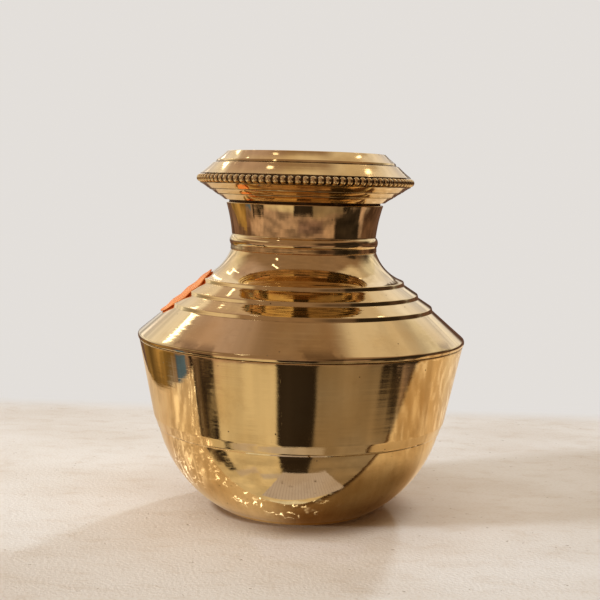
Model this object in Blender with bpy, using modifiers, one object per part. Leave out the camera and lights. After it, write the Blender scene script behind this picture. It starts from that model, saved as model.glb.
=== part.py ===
"""A brass kalash: a round-bellied water pot with a waisted neck and a beaded mouth.

The pot is built as a brazier builds it. Eight turned sheet pieces lap into each other from the foot to the
mouth, a ring of braze metal holds each seam from the hidden side, and a paper label lies on the shoulder.
Lengths are in millimetres in the constants and become metres when the meshes are made. The Z axis is the
axis of the pot, and z = 0 is the surface it stands on.
"""

import math

import bmesh
import bpy

MM = 0.001

# Sheet metal and seams
SHEET = 0.8
SEAT_GAP = 0.3
BRAZE_LEG = 1.2

# Foot ring
FOOT_RADIUS = 33.3
FOOT_WIDTH = 3.0
FOOT_HEIGHT = 1.6

# Base bowl
BOWL_FLAT_MARGIN = 3.0
BOWL_DEPTH = 37.3
BOWL_BULGE = 4.9
BOWL_LAP = 6.0

# Belly wall, a band that narrows towards the bowl
BELLY_HEIGHT = 32.8
BELLY_TOP_RADIUS = 69.5
BELLY_FOOT_RADIUS = 62.8
BELLY_FLANGE = 8.0
BELLY_JOGGLE = 0.6

# Shoulder: a short skirt over the belly wall, a bend, a cone, three stepped ridges and a hollow flare
SHOULDER_OVERHANG = 0.3
SKIRT_HEIGHT = 2.6
SHOULDER_BEND = 3.2
SHOULDER_SLOPE = 0.848
RIDGE_COUNT = 3
RIDGE_OUTER_RADIUS = 56.4
RIDGE_PITCH = 6.2
RIDGE_INSET = 0.95
RIDGE_RISE = 1.65
TERRACE_SLOPE = 0.695
FLARE_HEIGHT = 12.3
FLARE_HOLLOW = 1.5
COLLAR_HEIGHT = 5.5
COLLAR_JOGGLE = 0.4

# Neck: a plain band, a half-round ring and a waist that opens towards the mouth
NECK_BASE_RADIUS = 31.7
NECK_BAND_HEIGHT = 3.4
NECK_RING_HEIGHT = 3.0
NECK_RING_PROUD = 0.65
NECK_WAIST_RADIUS = 31.0
NECK_WAIST_HEIGHT = 13.4
NECK_HOLLOW = 0.35
NECK_TOP_RADIUS = 33.7

# Mouth: flare below, beaded wire at the edge, crown above
GROOVE_HEIGHT = 1.2
FLARE_FOOT_OVERHANG = 0.7
FLARE_COLLAR = 5.0
MOUTH_FLARE_RISE = 6.9
MOUTH_EDGE_RADIUS = 45.2
BEAD_COUNT = 96
BEAD_RADIUS = 1.65
BEAD_WAIST_RADIUS = 1.2
BEAD_PROUD = 1.4
CROWN_RISE = 9.7
CROWN_GROOVE_FROM_LIP = 6.7
CROWN_GROOVE_WIDTH = 2.0
CROWN_GROOVE_DEPTH = 0.5
LIP_RADIUS = 33.9
CROWN_BRAZE_WIDTH = 1.4

# Round label on the shoulder, lying over the ridges
LABEL_RADIUS = 14.0
LABEL_THICKNESS = 0.35
LABEL_LIFT = 0.9
LABEL_ANGLE = math.pi
LABEL_RINGS = 5
LABEL_SPOKES = 24

# Facets of the turned pieces
SEGMENTS = 40
ARC_STEPS = 8
SHORT_ARC_STEPS = 5
BEND_STEPS = 3

# Colour, roughness and metallic value of each finish
FINISHES = {
    "polished_brass": ((0.80, 0.57, 0.26, 1.0), 0.16, 1.0),
    "braze_metal": ((0.72, 0.55, 0.30, 1.0), 0.45, 1.0),
    "label_paper": ((0.86, 0.25, 0.06, 1.0), 0.60, 0.0),
}


# Points and lines in the (radius, height) half plane


def arc(start, end, bulge, steps):
    """Points after start up to end on a circular arc. A positive bulge lies to the left of start to end."""
    (r0, z0), (r1, z1) = start, end
    chord = math.hypot(r1 - r0, z1 - z0)
    half = 2.0 * math.atan(2.0 * abs(bulge) / chord)
    radius = chord / (2.0 * math.sin(half))
    side = math.copysign(1.0, bulge)
    ur, uz = (r1 - r0) / chord, (z1 - z0) / chord
    points = []
    for step in range(1, steps + 1):
        turn = -half + 2.0 * half * step / steps
        along = chord / 2.0 + radius * math.sin(turn)
        rise = side * radius * (math.cos(turn) - math.cos(half))
        points.append((r0 + ur * along - uz * rise, z0 + uz * along + ur * rise))
    return points[:-1] + [end]


def moved(point, direction, distance):
    return (point[0] + direction[0] * distance, point[1] + direction[1] * distance)


def unit(start, end):
    length = math.hypot(end[0] - start[0], end[1] - start[1])
    return ((end[0] - start[0]) / length, (end[1] - start[1]) / length)


def inside_of(direction):
    """A quarter turn to the right of the heading of a line down an outer face: it points into the metal."""
    return (direction[1], -direction[0])


def offset(line, distance):
    """The line moved inwards by distance, with mitred corners and square ends."""
    headings = [unit(a, b) for a, b in zip(line, line[1:])]
    points = [moved(line[0], inside_of(headings[0]), distance)]
    for point, before, after in zip(line[1:], headings, headings[1:]):
        a, b = inside_of(before), inside_of(after)
        reach = distance / (1.0 + a[0] * b[0] + a[1] * b[1])
        points.append(moved(point, (a[0] + b[0], a[1] + b[1]), reach))
    points.append(moved(line[-1], inside_of(headings[-1]), distance))
    return points


def rounded(before, corner, after, radius, steps):
    """Points that round an outward corner with an arc tangent to the lines from before and to after."""
    heading_in, heading_out = unit(before, corner), unit(corner, after)
    half_turn = math.acos(heading_in[0] * heading_out[0] + heading_in[1] * heading_out[1]) / 2.0
    cut = radius * math.tan(half_turn)
    start, end = moved(corner, heading_in, -cut), moved(corner, heading_out, cut)
    return [start, *arc(start, end, radius * (1.0 - math.cos(half_turn)), steps)]


def level_ends(line, top=None, bottom=None):
    """The line with its first point slid along it to height top, and its last point to height bottom."""
    points = list(line)
    for index, neighbour, height in ((0, 1, top), (-1, -2, bottom)):
        if height is not None:
            heading = unit(points[neighbour], points[index])
            points[index] = moved(points[index], heading, (height - points[index][1]) / heading[1])
    return points


def between(start, end, height):
    """The point at a height on the straight line through two points."""
    share = (height - start[1]) / (end[1] - start[1])
    return (start[0] + (end[0] - start[0]) * share, height)


def stretch(line, top, bottom):
    """The part of a line, which runs downwards, between two heights."""
    points = []
    for start, end in zip(line, line[1:]):
        if start[1] > bottom and end[1] < top:
            points.append(between(start, end, min(start[1], top)))
            last = between(start, end, max(end[1], bottom))
    return points + [last]


def height_on(line, radius):
    """The height where the straight line through a line's first two points passes a radius."""
    (r0, z0), (r1, z1) = line[0], line[1]
    return z0 + (z1 - z0) * (radius - r0) / (r1 - r0)


def fillet(corner, along_a, along_b):
    """A triangle of braze metal in the corner between two faces that run off along a and along b."""
    seat = moved(moved(corner, along_a, SEAT_GAP), along_b, SEAT_GAP)
    return [seat, moved(seat, along_a, BRAZE_LEG), moved(seat, along_b, BRAZE_LEG)]


# Outlines of the outer faces, each from its top to its bottom, and the inner faces a sheet behind them

BOWL_FLAT_Z = FOOT_HEIGHT + SEAT_GAP
BELLY_FOOT_Z = BOWL_FLAT_Z + BOWL_DEPTH
BELLY_TOP_Z = BELLY_FOOT_Z + BELLY_HEIGHT

BELLY_FOOT = (BELLY_FOOT_RADIUS, BELLY_FOOT_Z)
BELLY_TOP = (BELLY_TOP_RADIUS, BELLY_TOP_Z)
BELLY_DOWN = unit(BELLY_TOP, BELLY_FOOT)
BELLY_UP = (-BELLY_DOWN[0], -BELLY_DOWN[1])
SHOULDER_DOWN = unit((0.0, SHOULDER_SLOPE), (1.0, 0.0))
SHOULDER_UP = (-SHOULDER_DOWN[0], -SHOULDER_DOWN[1])

SKIRT_SIDE = moved(BELLY_TOP, inside_of(BELLY_UP), SHOULDER_OVERHANG)
SKIRT_FOOT = moved(SKIRT_SIDE, BELLY_UP, SEAT_GAP + BELLY_JOGGLE)
EDGE_CORNER = moved(SKIRT_FOOT, BELLY_UP, SKIRT_HEIGHT)
FLANGE_END = moved(EDGE_CORNER, SHOULDER_UP, BELLY_FLANGE)
EDGE_BEND = [*rounded(FLANGE_END, EDGE_CORNER, SKIRT_FOOT, SHOULDER_BEND, BEND_STEPS), SKIRT_FOOT]

# The belly's flange and bend lie a gap inside the shoulder's. A joggle brings the wall out under the skirt.
BELLY_OUTER = [*offset([FLANGE_END, *EDGE_BEND], SHEET + SEAT_GAP), BELLY_TOP, BELLY_FOOT]
BELLY_INNER = offset(BELLY_OUTER, SHEET)


def bowl_outer():
    """A lap inside the belly wall, then the rounded bowl and its flat bottom."""
    lap_foot = moved(BELLY_INNER[-1], inside_of(BELLY_DOWN), SEAT_GAP)
    lap_top = moved(lap_foot, BELLY_UP, BOWL_LAP)
    flat_edge = (FOOT_RADIUS + BOWL_FLAT_MARGIN, BOWL_FLAT_Z)
    return [lap_top, lap_foot, *arc(lap_foot, flat_edge, BOWL_BULGE, ARC_STEPS), (0.0, BOWL_FLAT_Z)]


def cone_height(radius):
    """Height of the shoulder cone's outer face at a radius."""
    return EDGE_CORNER[1] + (EDGE_CORNER[0] - radius) * SHOULDER_SLOPE


RIDGE_STEP = RIDGE_RISE + (RIDGE_PITCH - RIDGE_INSET) * TERRACE_SLOPE


def ridge_corners():
    """The lower and upper corner of each ridge, from the lowest ridge up."""
    corners = []
    radius = RIDGE_OUTER_RADIUS
    height = cone_height(radius)
    for _ in range(RIDGE_COUNT):
        corners.append(((radius, height), (radius - RIDGE_INSET, height + RIDGE_RISE)))
        radius -= RIDGE_PITCH
        height += RIDGE_STEP
    return corners


RIDGES = ridge_corners()
FLARE_FOOT = RIDGES[-1][1]
NECK_FOOT_Z = FLARE_FOOT[1] + FLARE_HEIGHT
COLLAR_TOP_Z = NECK_FOOT_Z + COLLAR_HEIGHT
NECK_RING_Z = NECK_FOOT_Z + NECK_BAND_HEIGHT
NECK_WAIST_Z = NECK_RING_Z + NECK_RING_HEIGHT
NECK_TOP_Z = NECK_WAIST_Z + NECK_WAIST_HEIGHT

NECK_TOP = (NECK_TOP_RADIUS, NECK_TOP_Z)
NECK_WAIST = (NECK_WAIST_RADIUS, NECK_WAIST_Z)
NECK_BAND = (NECK_BASE_RADIUS, NECK_RING_Z)
NECK_FOOT = (NECK_BASE_RADIUS, NECK_FOOT_Z)
NECK_SIDE = [NECK_TOP, *arc(NECK_TOP, NECK_WAIST, -NECK_HOLLOW, SHORT_ARC_STEPS)]
NECK_OUTER = [*NECK_SIDE, *arc(NECK_WAIST, NECK_BAND, NECK_RING_PROUD, SHORT_ARC_STEPS), NECK_FOOT]
NECK_INNER = level_ends(offset([*NECK_SIDE, NECK_BAND, NECK_FOOT], SHEET), NECK_TOP_Z, NECK_FOOT_Z)


def shoulder_outer():
    """A collar inside the neck, a joggle out to the neck's face, the flare, ridges, cone and skirt."""
    collar = offset(stretch(NECK_INNER, COLLAR_TOP_Z, NECK_FOOT_Z), SEAT_GAP)
    flare_top = (NECK_BASE_RADIUS, NECK_FOOT_Z - SEAT_GAP - COLLAR_JOGGLE)
    line = level_ends(collar, COLLAR_TOP_Z, NECK_FOOT_Z - SEAT_GAP) + [flare_top]
    line += arc(flare_top, FLARE_FOOT, -FLARE_HOLLOW, ARC_STEPS)
    corners = [corner for lower, upper in reversed(RIDGES) for corner in (upper, lower)]
    return line + corners[1:] + EDGE_BEND


MOUTH_FOOT_Z = NECK_TOP_Z + GROOVE_HEIGHT
FLARE_COLLAR_FOOT_Z = NECK_TOP_Z - FLARE_COLLAR
FLARE_EDGE_Z = MOUTH_FOOT_Z + MOUTH_FLARE_RISE
BEAD_Z = FLARE_EDGE_Z + SEAT_GAP + BEAD_RADIUS
CROWN_EDGE_Z = BEAD_Z + BEAD_RADIUS + SEAT_GAP
LIP_Z = CROWN_EDGE_Z + CROWN_RISE
BEAD_RING_RADIUS = MOUTH_EDGE_RADIUS + BEAD_PROUD - BEAD_RADIUS


def mouth_flare_outer():
    """The underside of the flare from the beaded edge down to the groove, then a collar inside the neck."""
    collar = offset(stretch(NECK_INNER, NECK_TOP_Z, FLARE_COLLAR_FOOT_Z), SEAT_GAP)
    underside = [(MOUTH_EDGE_RADIUS, FLARE_EDGE_Z), (NECK_TOP_RADIUS + FLARE_FOOT_OVERHANG, MOUTH_FOOT_Z)]
    return underside + level_ends(collar, MOUTH_FOOT_Z, FLARE_COLLAR_FOOT_Z)


def mouth_flare_inner():
    return level_ends(offset(mouth_flare_outer(), SHEET), FLARE_EDGE_Z, FLARE_COLLAR_FOOT_Z)


def crown_outer():
    """The upper cone from the lip to the beaded edge, with one shallow turned groove."""
    lip, edge = (LIP_RADIUS, LIP_Z), (MOUTH_EDGE_RADIUS, CROWN_EDGE_Z)
    down = unit(lip, edge)
    centre = moved(lip, down, CROWN_GROOVE_FROM_LIP)
    valley = moved(centre, inside_of(down), CROWN_GROOVE_DEPTH)
    upper, lower = (moved(centre, down, side * CROWN_GROOVE_WIDTH / 2.0) for side in (-1.0, 1.0))
    return [lip, upper, valley, lower, edge]


def crown_inner():
    lip, edge = crown_outer()[0], crown_outer()[-1]
    return level_ends(offset([lip, edge], SHEET), LIP_Z, CROWN_EDGE_Z)


# Blender objects


def material(name, finish):
    colour, roughness, metallic = FINISHES[finish]
    made = bpy.data.materials.new(f"{name}_{finish}")
    made.use_nodes = True
    shader = made.node_tree.nodes["Principled BSDF"]
    shader.inputs["Base Color"].default_value = colour
    shader.inputs["Roughness"].default_value = roughness
    shader.inputs["Metallic"].default_value = metallic
    made.diffuse_color = colour
    return made


def linked(name, data, finish):
    obj = bpy.data.objects.new(name, data)
    data.materials.append(material(name, finish))
    POT.objects.link(obj)
    return obj


def turned(name, section, finish, closed=True):
    """Turns a section about the Z axis. It runs down its outer face and back up its inner face."""
    count = len(section)
    edges = [(i, i + 1) for i in range(count - 1)] + ([(count - 1, 0)] if closed else [])
    mesh = bpy.data.meshes.new(name)
    mesh.from_pydata([(r * MM, 0.0, z * MM) for r, z in section], edges, [])
    obj = linked(name, mesh, finish)
    screw = obj.modifiers.new("Turned", "SCREW")
    screw.axis = "Z"
    screw.angle = 2.0 * math.pi
    screw.steps = screw.render_steps = SEGMENTS
    screw.use_merge_vertices = True
    screw.merge_threshold = 0.00001
    screw.use_smooth_shade = True
    return obj


def foot_ring():
    inner = FOOT_RADIUS - FOOT_WIDTH
    section = [(FOOT_RADIUS, FOOT_HEIGHT), (FOOT_RADIUS, 0.0), (inner, 0.0), (inner, FOOT_HEIGHT)]
    turned("foot_ring", section, "polished_brass")
    corner = (inner, BOWL_FLAT_Z)
    turned("foot_braze", fillet(corner, (0.0, -1.0), (-1.0, 0.0)), "braze_metal")


def base_bowl():
    outer = bowl_outer()
    inner = offset(outer[:-1], SHEET)
    inner[-1] = (inner[-1][0], BOWL_FLAT_Z + SHEET)
    section = [(0.0, BOWL_FLAT_Z + SHEET), *reversed(inner), *outer]
    turned("base_bowl", section, "polished_brass", closed=False)
    corner = moved(BELLY_INNER[-1], BELLY_UP, BOWL_LAP)
    turned("belly_braze", fillet(corner, inside_of(BELLY_DOWN), BELLY_UP), "braze_metal")


def belly_wall():
    turned("belly_wall", [*BELLY_OUTER, *reversed(BELLY_INNER)], "polished_brass")
    corner = moved(FLANGE_END, inside_of(SHOULDER_DOWN), SHEET)
    turned("shoulder_braze", fillet(corner, inside_of(SHOULDER_DOWN), SHOULDER_UP), "braze_metal")


def shoulder():
    outer = shoulder_outer()
    inner = level_ends(offset(outer, SHEET), COLLAR_TOP_Z)
    turned("shoulder", [*outer, *reversed(inner)], "polished_brass")
    wall = stretch(NECK_INNER, COLLAR_TOP_Z + SEAT_GAP + BRAZE_LEG, COLLAR_TOP_Z)
    corner = (min(r for r, _ in wall), COLLAR_TOP_Z)
    turned("neck_braze", fillet(corner, (-1.0, 0.0), (0.0, 1.0)), "braze_metal")


def neck():
    turned("neck", [*NECK_OUTER, *reversed(NECK_INNER)], "polished_brass")
    wall = stretch(NECK_INNER, FLARE_COLLAR_FOOT_Z, FLARE_COLLAR_FOOT_Z - SEAT_GAP - BRAZE_LEG)
    corner = (min(r for r, _ in wall), FLARE_COLLAR_FOOT_Z)
    turned("mouth_braze", fillet(corner, (0.0, -1.0), (-1.0, 0.0)), "braze_metal")


def mouth_flare():
    turned("mouth_flare", [*mouth_flare_outer(), *reversed(mouth_flare_inner())], "polished_brass")


def bead_wire():
    """A wire pinched into beads: two points for each bead, one full and one thin."""
    curve = bpy.data.curves.new("bead_wire", "CURVE")
    curve.dimensions = "3D"
    curve.bevel_depth = BEAD_RADIUS * MM
    curve.bevel_resolution = 1
    count = 2 * BEAD_COUNT
    spline = curve.splines.new("POLY")
    spline.points.add(count - 1)
    spline.use_cyclic_u = True
    for index, point in enumerate(spline.points):
        turn = 2.0 * math.pi * index / count
        reach = BEAD_RING_RADIUS * MM
        point.co = (reach * math.cos(turn), reach * math.sin(turn), BEAD_Z * MM, 1.0)
        point.radius = BEAD_WAIST_RADIUS / BEAD_RADIUS if index % 2 else 1.0
    linked("bead_wire", curve, "polished_brass")


def crown():
    turned("mouth_crown", [*crown_outer(), *reversed(crown_inner())], "polished_brass")
    above_flare = offset(mouth_flare_inner()[:2], SEAT_GAP)
    under_crown = offset(crown_inner(), SEAT_GAP)
    outer = BEAD_RING_RADIUS - BEAD_RADIUS - SEAT_GAP
    inner = outer - CROWN_BRAZE_WIDTH
    section = [(outer, height_on(under_crown, outer)), (outer, height_on(above_flare, outer))]
    section += [(inner, height_on(above_flare, inner)), (inner, height_on(under_crown, inner))]
    turned("crown_braze", section, "braze_metal")


def label():
    """A round sticker bent over the shoulder: it follows the line of the ridges and lifts between them."""
    middle = RIDGES[RIDGE_COUNT // 2][1]
    down = unit((0.0, RIDGE_STEP), (RIDGE_PITCH, 0.0))
    out = (-inside_of(down)[0], -inside_of(down)[1])
    build = bmesh.new()
    reaches = [LABEL_RADIUS * ring / LABEL_RINGS for ring in range(LABEL_RINGS + 1)]
    spoke = [build.verts.new((reach, 0.0, 0.0)) for reach in reaches]
    edges = [build.edges.new(pair) for pair in zip(spoke, spoke[1:])]
    bmesh.ops.spin(build, geom=spoke + edges, axis=(0.0, 0.0, 1.0), cent=(0.0, 0.0, 0.0),
                   angle=2.0 * math.pi, steps=LABEL_SPOKES, use_merge=True)
    bmesh.ops.remove_doubles(build, verts=build.verts, dist=LABEL_THICKNESS / 10.0)
    for vert in build.verts:
        around, along = vert.co.x, vert.co.y
        wave = LABEL_LIFT * math.sin(math.pi * along / LABEL_RADIUS) ** 2
        radius, height = moved(moved(middle, down, along), out, SEAT_GAP + LABEL_THICKNESS + wave)
        turn = LABEL_ANGLE + around / radius
        vert.co = (radius * math.cos(turn) * MM, radius * math.sin(turn) * MM, height * MM)
    bmesh.ops.recalc_face_normals(build, faces=build.faces)
    mesh = bpy.data.meshes.new("shoulder_label")
    build.to_mesh(mesh)
    build.free()
    mesh.shade_smooth()
    obj = linked("shoulder_label", mesh, "label_paper")
    paper = obj.modifiers.new("Paper", "SOLIDIFY")
    paper.thickness = LABEL_THICKNESS * MM


for old in list(bpy.data.objects):
    bpy.data.objects.remove(old, do_unlink=True)
POT = bpy.data.collections.new("kalash")
bpy.context.scene.collection.children.link(POT)

foot_ring()
base_bowl()
belly_wall()
shoulder()
neck()
mouth_flare()
bead_wire()
crown()
label()
print(f"kalash: {LIP_Z:.1f} mm tall, {2.0 * max(r for r, _ in EDGE_BEND):.1f} mm wide")
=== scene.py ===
# %% [markdown]
# # A polished brass kalash
# A kalash is a round-bellied water pot. This one is spun from brass sheet: bowl, belly, shoulder, neck and
# mouth are separate turned pieces, lapped into each other and brazed. The imported CAD model gives the frame
# of real sizes, and this lesson builds the finished surfaces around it.
# Loading comes first, because every piece here stands on what the frame says.

# %% Load the imported model
import math
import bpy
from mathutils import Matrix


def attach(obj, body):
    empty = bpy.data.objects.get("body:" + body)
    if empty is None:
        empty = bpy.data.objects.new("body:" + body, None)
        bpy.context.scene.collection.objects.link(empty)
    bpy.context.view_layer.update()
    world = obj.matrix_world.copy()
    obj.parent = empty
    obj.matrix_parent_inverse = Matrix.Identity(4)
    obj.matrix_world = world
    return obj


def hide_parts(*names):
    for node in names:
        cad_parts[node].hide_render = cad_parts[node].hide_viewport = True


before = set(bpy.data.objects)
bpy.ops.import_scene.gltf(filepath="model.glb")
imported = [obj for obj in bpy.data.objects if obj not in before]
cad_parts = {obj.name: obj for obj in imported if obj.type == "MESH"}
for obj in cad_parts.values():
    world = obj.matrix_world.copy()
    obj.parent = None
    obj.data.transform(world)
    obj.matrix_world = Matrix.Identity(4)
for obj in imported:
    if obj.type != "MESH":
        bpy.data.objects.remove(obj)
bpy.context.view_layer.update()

from types import SimpleNamespace

import bpy
from mathutils import Matrix, Vector

MM = 0.001
BODY = "root"
print("CAD nodes:", ", ".join(sorted(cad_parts)))

# %% [markdown]
# ## Camera
# The photograph looks at the pot from just below its lip, a little downwards, with a slight tilt to one side.
# The camera comes first, since every later choice is judged through it. Lens and place could be set by eye,
# but the pot's rings tell more: how flat their ellipses are in the picture gives the height of the eye.

# %% Set the camera
CAMERA_PLACE = Vector((-0.0009, -0.4799, 0.1404))
CAMERA_LENS_MM = 66.7
CAMERA_PITCH = math.radians(5.99)
CAMERA_ROLL = math.radians(1.61)

scene = bpy.context.scene
scene.view_settings.view_transform = "Standard"


def placed(name, data):
    """A new object in the scene."""
    made = bpy.data.objects.new(name, data)
    scene.collection.objects.link(made)
    return made


camera = placed("camera", bpy.data.cameras.new("camera"))
camera.data.lens = CAMERA_LENS_MM
camera.data.clip_start = 0.01
camera.location = CAMERA_PLACE
look = Matrix.Rotation(math.pi / 2.0 - CAMERA_PITCH, 3, "X") @ Matrix.Rotation(CAMERA_ROLL, 3, "Z")
camera.rotation_euler = look.to_euler()
scene.camera = camera
print(f"camera {CAMERA_PLACE.length * 1000:.0f} mm from the pot's foot")

# %% [markdown]
# ## Node helpers
# Materials, the studio and the turned pieces are all node trees. Writing each link by hand is long, so one
# small class adds a node, sets what is a plain value and wires what is a socket. Its other helpers are the
# few kinds of node that come up again and again: sums, soft steps, noise and spots.

# %% Short ways to add and wire nodes


class Nodes:
    """Adds nodes to one tree. An input given as a socket is wired, and any other input is set."""

    def __init__(self, tree):
        self.tree = tree

    def put(self, socket, value):
        if isinstance(value, bpy.types.NodeSocket):
            self.tree.links.new(value, socket)
        elif socket.type == "RGBA":
            socket.default_value = (*value, 1.0)
        else:
            socket.default_value = value

    def add(self, kind, inputs=None, **settings):
        """A new node. A kind without Node in its name is a shader node."""
        node = self.tree.nodes.new(kind if "Node" in kind else "ShaderNode" + kind)
        for name, value in settings.items():
            setattr(node, name, value)
        for key, value in (inputs or {}).items():
            self.put(node.inputs[key], value)
        return node

    def make(self, kind, settings=None, **inputs):
        """The first output of a new node. The names of its inputs have _ for a space."""
        named = {name.replace("_", " "): value for name, value in inputs.items()}
        return self.add(kind, named, **(settings or {})).outputs[0]

    def shape(self, kind, settings=None, **inputs):
        return self.make("GeometryNode" + kind, settings, **inputs)

    def math(self, operation, first, second=0.0):
        return self.add("Math", {0: first, 1: second}, operation=operation).outputs[0]

    def row(self, operation, values):
        result = values[0]
        for value in values[1:]:
            result = self.math(operation, result, value)
        return result

    def plus(self, *values):
        return self.row("ADD", values)

    def times(self, *values):
        return self.row("MULTIPLY", values)

    def most(self, *values):
        return self.row("MAXIMUM", values)

    def minus(self, first, second):
        return self.math("SUBTRACT", first, second)

    def smooth(self, value, zero, one):
        """A soft step: 0 at the first place, 1 at the second, which may lie on either side of it."""
        soft = {"interpolation_type": "SMOOTHSTEP"}
        return self.make("MapRange", soft, Value=value, From_Min=zero, From_Max=one)

    def between(self, value, low, high):
        """A value from 0 to 1 taken to a value from low to high."""
        return self.make("MapRange", Value=value, To_Min=low, To_Max=high)

    def mix(self, share, first, second, blend="MIX"):
        inputs = {0: share, 6: first, 7: second}
        return self.add("Mix", inputs, data_type="RGBA", blend_type=blend).outputs[2]

    def noise(self, place, scale, detail, on_line=False, **more):
        """Cloudy noise around a half, by place or by the distance along a line."""
        inputs = {"W" if on_line else "Vector": place, "Scale": scale, "Detail": detail, **more}
        dimensions = "1D" if on_line else "3D"
        return self.add("TexNoise", inputs, noise_dimensions=dimensions).outputs["Fac"]

    def swing(self, place, scale, detail, reach):
        """Noise that swings from minus the reach to plus the reach."""
        return self.times(self.minus(self.noise(place, scale, detail), 0.5), 2.0 * reach)

    def spots(self, place, scale, skipped, core, rim):
        """Small round spots in the cells of a net, of which a share is skipped."""
        cells = self.add("TexVoronoi", {"Vector": place, "Scale": scale}).outputs
        lot = self.make("SeparateColor", Color=cells["Color"])
        return self.times(self.smooth(cells["Distance"], rim, core), self.math("GREATER_THAN", lot, skipped))

    def place(self):
        return self.add("TexCoord").outputs["Object"]

    def attribute(self, name):
        return self.add("Attribute", attribute_name=name).outputs["Fac"]

    def vector(self, x=0.0, y=0.0, z=0.0):
        return self.make("CombineXYZ", X=x, Y=y, Z=z)

    def split(self, vector):
        return self.add("SeparateXYZ", {0: vector}).outputs

    def length(self, vector):
        return self.add("VectorMath", {0: vector}, operation="LENGTH").outputs["Value"]

    def bump(self, height, strength, distance):
        return self.make("Bump", Height=height, Strength=strength, Distance=distance)

    def glow(self, colour, strength=1.0):
        return self.make("Emission", Color=colour, Strength=strength)

    def surface(self, shader):
        self.add("OutputMaterial", {"Surface": shader})


def new_material(name):
    """A material with an empty tree, and the helper for its tree."""
    made = bpy.data.materials.new(name)
    made.use_nodes = True
    made.node_tree.nodes.clear()
    return made, Nodes(made.node_tree)


print("node helpers ready")

# %% [markdown]
# ## Polished brass
# Brass that was polished on a lathe and then used: it mirrors the room, yet its shine is broken by rings from
# the turning tool, hair scratches, tiny pits, cloudy patches where hands have dulled it, and dark brown in
# corners and seams that is partly grime, where a polishing cloth can't reach, and partly painted shade.
# The metal could be one glossy colour, but then it looks like plastic gilt. Here the marks are layers that
# change its colour, roughness or bump. Rings follow "along", the distance down the piece's own outline, and
# grime with painted shade follows "hollow", which is high in corners and seams. The turned meshes carry both
# as attributes.
# The shoulder's edge also has blotches of tarnish.

# %% Brass material
BRASS, BRASS_DEEP = (0.87, 0.66, 0.33), (0.80, 0.56, 0.24)
# The dark colour of pits, corners and seams is partly grime and partly painted shade.
PATINA, TARNISH, GRIME_AND_SHADE = (0.55, 0.37, 0.16), (0.20, 0.125, 0.055), (0.085, 0.050, 0.024)
TARNISH_TOP, TARNISH_FOOT = 0.0795, 0.0760
SCRATCH_SCALE, SCRATCH_TURN = (1500.0, 22.0, 300.0), (0.35, 0.9, 0.2)
SMEAR_HEIGHT, SCRATCH_HEIGHT, PIT_HEIGHT = 0.05, -0.05, -0.30
BRASS_RELIEF = 0.00012


def brass(name, shine=0.022, ring_depth=0.10, wave_depth=0.35, spots=0.0):
    """Polished brass. Shine is the roughness of a clean place, spots the share of tarnish blotches."""
    made, n = new_material(name)
    place, along, hollow = n.place(), n.attribute("along"), n.attribute("hollow")
    cloud, smear = n.noise(place, 38.0, 4.0), n.noise(place, 210.0, 6.0)
    patina = n.noise(place, 85.0, 7.0, Roughness=0.65)
    rings = n.noise(along, 2.6, 5.0, on_line=True, Roughness=0.7)
    waves = n.noise(along, 0.35, 2.0, on_line=True)
    hair = n.make("Mapping", Vector=place, Rotation=SCRATCH_TURN, Scale=SCRATCH_SCALE)
    scratch = n.smooth(n.noise(hair, 1.0, 2.0), 0.69, 0.74)
    pit = n.spots(place, 260.0, skipped=0.74, core=0.03, rim=0.11)
    # Dark in corners and seams by hollow, broken by smears: grime, and painted shade where shadow falls in
    # corners and gaps.
    dirt_and_shade = n.smooth(n.plus(hollow, n.between(smear, -0.35, 0.35)), 0.42, 0.95)
    near_edge = n.smooth(n.split(place)["Z"], TARNISH_TOP, TARNISH_FOOT)
    blotch = n.times(n.smooth(n.plus(cloud, n.between(smear, -0.12, 0.12)), 0.52, 0.60), near_edge)

    colour = n.mix(n.smooth(cloud, 0.35, 0.70), BRASS, BRASS_DEEP)
    colour = n.mix(n.times(n.smooth(patina, 0.48, 0.78), 0.45), colour, PATINA)
    colour = n.mix(n.times(blotch, 0.55 * spots), colour, TARNISH)
    colour = n.mix(n.times(pit, 0.85), colour, GRIME_AND_SHADE)
    colour = n.mix(dirt_and_shade, colour, GRIME_AND_SHADE)
    dulled = n.between(n.smooth(cloud, 0.40, 0.72), shine, shine + 0.07)
    rough = n.plus(dulled, n.between(smear, -0.015, 0.03), n.times(n.most(dirt_and_shade, pit), 0.40))
    height = n.plus(n.times(rings, ring_depth), n.times(smear, SMEAR_HEIGHT), n.times(waves, wave_depth),
                    n.times(scratch, SCRATCH_HEIGHT), n.times(pit, PIT_HEIGHT))
    n.surface(n.make("BsdfPrincipled", Base_Color=colour, Metallic=1.0, Roughness=rough,
                     Normal=n.bump(height, 0.35, BRASS_RELIEF)))
    return made


POT_BRASS = brass("pot_brass")
SHOULDER_BRASS = brass("shoulder_brass", wave_depth=0.7, spots=1.0)
MOUTH_BRASS = brass("mouth_brass", ring_depth=0.11, wave_depth=0.5)
print("brass finishes:", POT_BRASS.name, SHOULDER_BRASS.name, MOUTH_BRASS.name)

# %% [markdown]
# ## Braze metal and label paper
# The seams are held from the hidden side by a ring of braze metal, dull and slightly lumpy as it flowed. A
# small round paper label lies on the shoulder, plain orange with a smooth coated face. Paper could be a plain
# surface, but some light comes through it from behind, so a share of it is a translucent shader.

# %% Braze and paper materials
BRAZE_PALE, BRAZE_DARK, BRAZE_RELIEF = (0.62, 0.46, 0.23), (0.40, 0.28, 0.13), 0.0003
ORANGE, ORANGE_DEEP, PAPER_RELIEF = (0.87, 0.335, 0.10), (0.81, 0.27, 0.072), 0.00004
SEE_THROUGH = 0.3


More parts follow.
